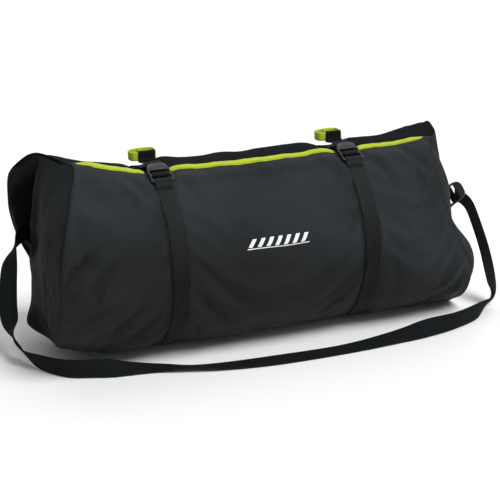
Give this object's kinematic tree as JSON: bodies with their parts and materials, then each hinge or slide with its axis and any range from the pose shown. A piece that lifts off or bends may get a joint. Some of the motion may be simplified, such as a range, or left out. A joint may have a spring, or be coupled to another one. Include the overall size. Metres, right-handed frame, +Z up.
{
  "type": "rope storage bag",
  "caption": "Roll-shaped cloth bag for climbing rope, with a bound front lip that opens, two buckled load straps with pull loops, a rope sheet inside and a flat shoulder strap.",
  "frame": {"origin": "middle of the bag's footprint, on the floor it rests on", "axes": "+X towards the right end as seen from the front, -Y the front with the lip and the print, +Z up"},
  "size_m": [0.7378, 0.3031, 0.2689],
  "materials": {
    "bag_cloth": "matte coated woven cloth, slate black",
    "black_webbing": "flat woven webbing, black",
    "sling_webbing": "flat woven webbing, black",
    "lime_binding": "folded grosgrain tape, lime",
    "lime_webbing": "flat woven webbing, lime",
    "buckle_plastic": "moulded, fine satin texture, charcoal",
    "sheet_cloth": "thin coated cloth, grey",
    "print_film": "thin printed film, white"
  },
  "bodies": {
    "bag": {"lower_front_panel": "bag_cloth", "base_panel": "bag_cloth", "back_panel": "bag_cloth", "rear_flap": "bag_cloth", "left_end_panel": "bag_cloth", "right_end_panel": "bag_cloth", "left_end_webbing": "black_webbing", "right_end_webbing": "black_webbing", "left_front_strap": "black_webbing", "right_front_strap": "black_webbing", "left_load_strap": "black_webbing", "right_load_strap": "black_webbing", "rope_sheet": "sheet_cloth", "left_tie_in_loop": "lime_webbing", "right_tie_in_loop": "lime_webbing", "shoulder_strap": "sling_webbing"},
    "front_lip": {"upper_front_panel": "bag_cloth", "lip_binding": "lime_binding", "left_buckle_strap": "black_webbing", "right_buckle_strap": "black_webbing", "left_strap_end": "black_webbing", "right_strap_end": "black_webbing", "front_print": "print_film"},
    "left_buckle": {"left_buckle": "buckle_plastic", "left_bar_turn": "black_webbing"},
    "right_buckle": {"right_buckle": "buckle_plastic", "right_bar_turn": "black_webbing"},
    "left_tail": {"left_tail": "black_webbing"},
    "right_tail": {"right_tail": "black_webbing"},
    "left_pull": {"left_tail_wrap": "black_webbing", "left_pull_loop": "lime_webbing"},
    "right_pull": {"right_tail_wrap": "black_webbing", "right_pull_loop": "lime_webbing"},
    "shoulder_buckle": {"shoulder_buckle": "buckle_plastic"}
  },
  "joints": [
    {"name": "mouth_open", "type": "hinge", "parent": "bag", "child": "front_lip", "pos_m": [0, -0.12595, 0.11021], "axis": [1, 0, 0], "range_deg": [0, 45]},
    {"name": "left_buckle_tilt", "type": "hinge", "parent": "front_lip", "child": "left_buckle", "pos_m": [-0.153, -0.06056, 0.24186], "axis": [1, 0, 0], "range_deg": [0, 40]},
    {"name": "left_tail_pull", "type": "slide", "parent": "left_buckle", "child": "left_tail", "axis": [0, 0.891, 0.454], "range_m": [0, 0.015]},
    {"name": "left_pull_swing", "type": "hinge", "parent": "left_tail", "child": "left_pull", "pos_m": [-0.153, -0.006, 0.255], "axis": [1, 0, 0], "range_deg": [0, 75]},
    {"name": "right_buckle_tilt", "type": "hinge", "parent": "front_lip", "child": "right_buckle", "pos_m": [0.131, -0.06056, 0.24186], "axis": [1, 0, 0], "range_deg": [0, 40]},
    {"name": "right_tail_pull", "type": "slide", "parent": "right_buckle", "child": "right_tail", "axis": [0, 0.891, 0.454], "range_m": [0, 0.015]},
    {"name": "right_pull_swing", "type": "hinge", "parent": "right_tail", "child": "right_pull", "pos_m": [0.131, -0.006, 0.255], "axis": [1, 0, 0], "range_deg": [0, 75]},
    {"name": "shoulder_buckle_tilt", "type": "hinge", "parent": "bag", "child": "shoulder_buckle", "pos_m": [0.316, -0.01, 0.148], "axis": [0, 0.8191, 0.5736], "range_deg": [-30, 0]}
  ]
}
